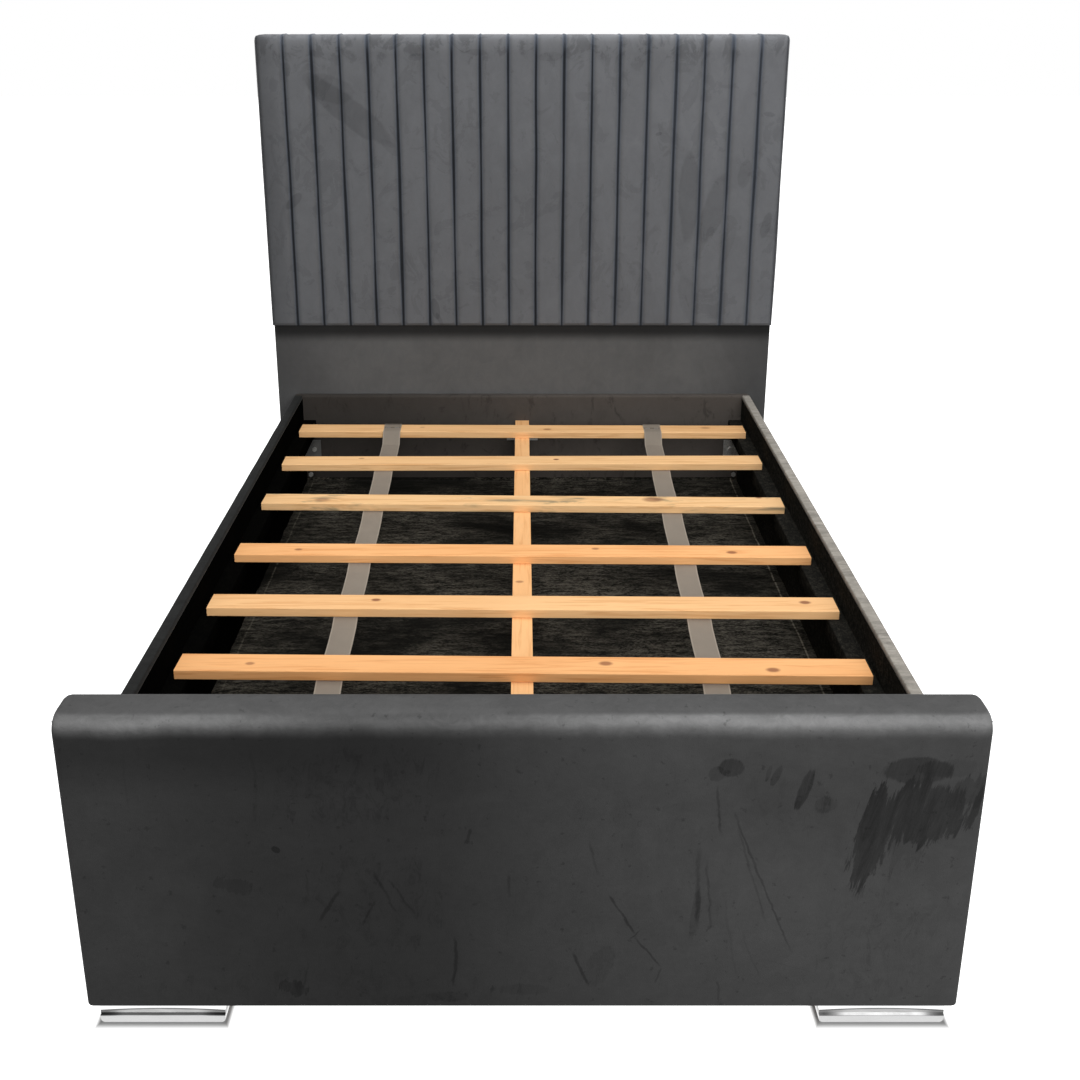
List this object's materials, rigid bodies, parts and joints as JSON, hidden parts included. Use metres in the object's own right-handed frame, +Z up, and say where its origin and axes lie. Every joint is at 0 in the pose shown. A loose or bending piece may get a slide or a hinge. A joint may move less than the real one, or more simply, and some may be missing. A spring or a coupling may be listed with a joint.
{
  "type": "upholstered bed frame",
  "caption": "Upholstered double bed frame: headboard with upright padded channels, high padded foot end, slim side rails, loose pine slats over a centre beam, bar feet.",
  "frame": {"origin": "on the floor, under the middle of the whole bed's bounding box", "axes": "+X to the right seen from the foot end, +Y towards the headboard, +Z up"},
  "size_m": [1.52, 2.079, 1.5],
  "materials": {
    "pine": "planed softwood, unsealed",
    "board": "raw board",
    "foam": "open-cell foam",
    "headboard_velvet": "short-pile velvet, soft sheen",
    "dark_velvet": "short-pile velvet, soft sheen",
    "black_lining": "non-woven cloth, matt",
    "black_plastic": "moulded",
    "chrome": "bright plated",
    "zinc_steel": "bright zinc plated",
    "webbing": "woven webbing"
  },
  "bodies": {
    "bed_frame": {"base_cloth": "black_lining", "bracket_bolts": "zinc_steel", "centre_beam": "pine", "centre_leg": "pine", "centre_leg_glide": "black_plastic", "cradle_screws": "zinc_steel", "foot_beam_cradle": "zinc_steel", "foot_screws": "zinc_steel", "footboard_back_panel": "board", "footboard_base_rail": "pine", "footboard_cover": "dark_velvet", "footboard_foam": "foam", "footboard_front_panel": "board", "footboard_middle_rail": "pine", "footboard_top_rail": "pine", "head_beam_cradle": "zinc_steel", "head_rail_board": "board", "head_rail_cover": "dark_velvet", "headboard_back_cloth": "black_lining", "headboard_base_batten": "pine", "headboard_bolts": "zinc_steel", "headboard_channel_cover": "headboard_velvet", "headboard_channel_foam": "foam", "headboard_lower_cover": "dark_velvet", "headboard_lower_foam": "foam", "headboard_middle_batten": "pine", "headboard_panel": "board", "headboard_rail_batten": "pine", "headboard_top_batten": "pine", "ledge_screws": "zinc_steel", "left_chrome_foot": "chrome", "left_foot_bracket": "zinc_steel", "left_footboard_post": "pine", "left_head_bracket": "zinc_steel", "left_headboard_glide": "black_plastic", "left_headboard_upright": "pine", "left_ledge": "pine", "left_rail_board": "board", "left_rail_cover": "dark_velvet", "left_rail_lining": "black_lining", "right_chrome_foot": "chrome", "right_foot_bracket": "zinc_steel", "right_footboard_post": "pine", "right_head_bracket": "zinc_steel", "right_headboard_glide": "black_plastic", "right_headboard_upright": "pine", "right_ledge": "pine", "right_rail_board": "board", "right_rail_cover": "dark_velvet", "right_rail_lining": "black_lining"},
    "slat_set": {"slat_1": "pine", "slat_2": "pine", "slat_3": "pine", "slat_4": "pine", "slat_5": "pine", "slat_6": "pine", "slat_7": "pine", "left_strap": "webbing", "right_strap": "webbing", "strap_staples": "zinc_steel"}
  },
  "joints": [
    {"name": "slats_lift_out", "type": "slide", "parent": "bed_frame", "child": "slat_set", "axis": [0, 0, 1], "range_m": [0, 0.3]}
  ]
}
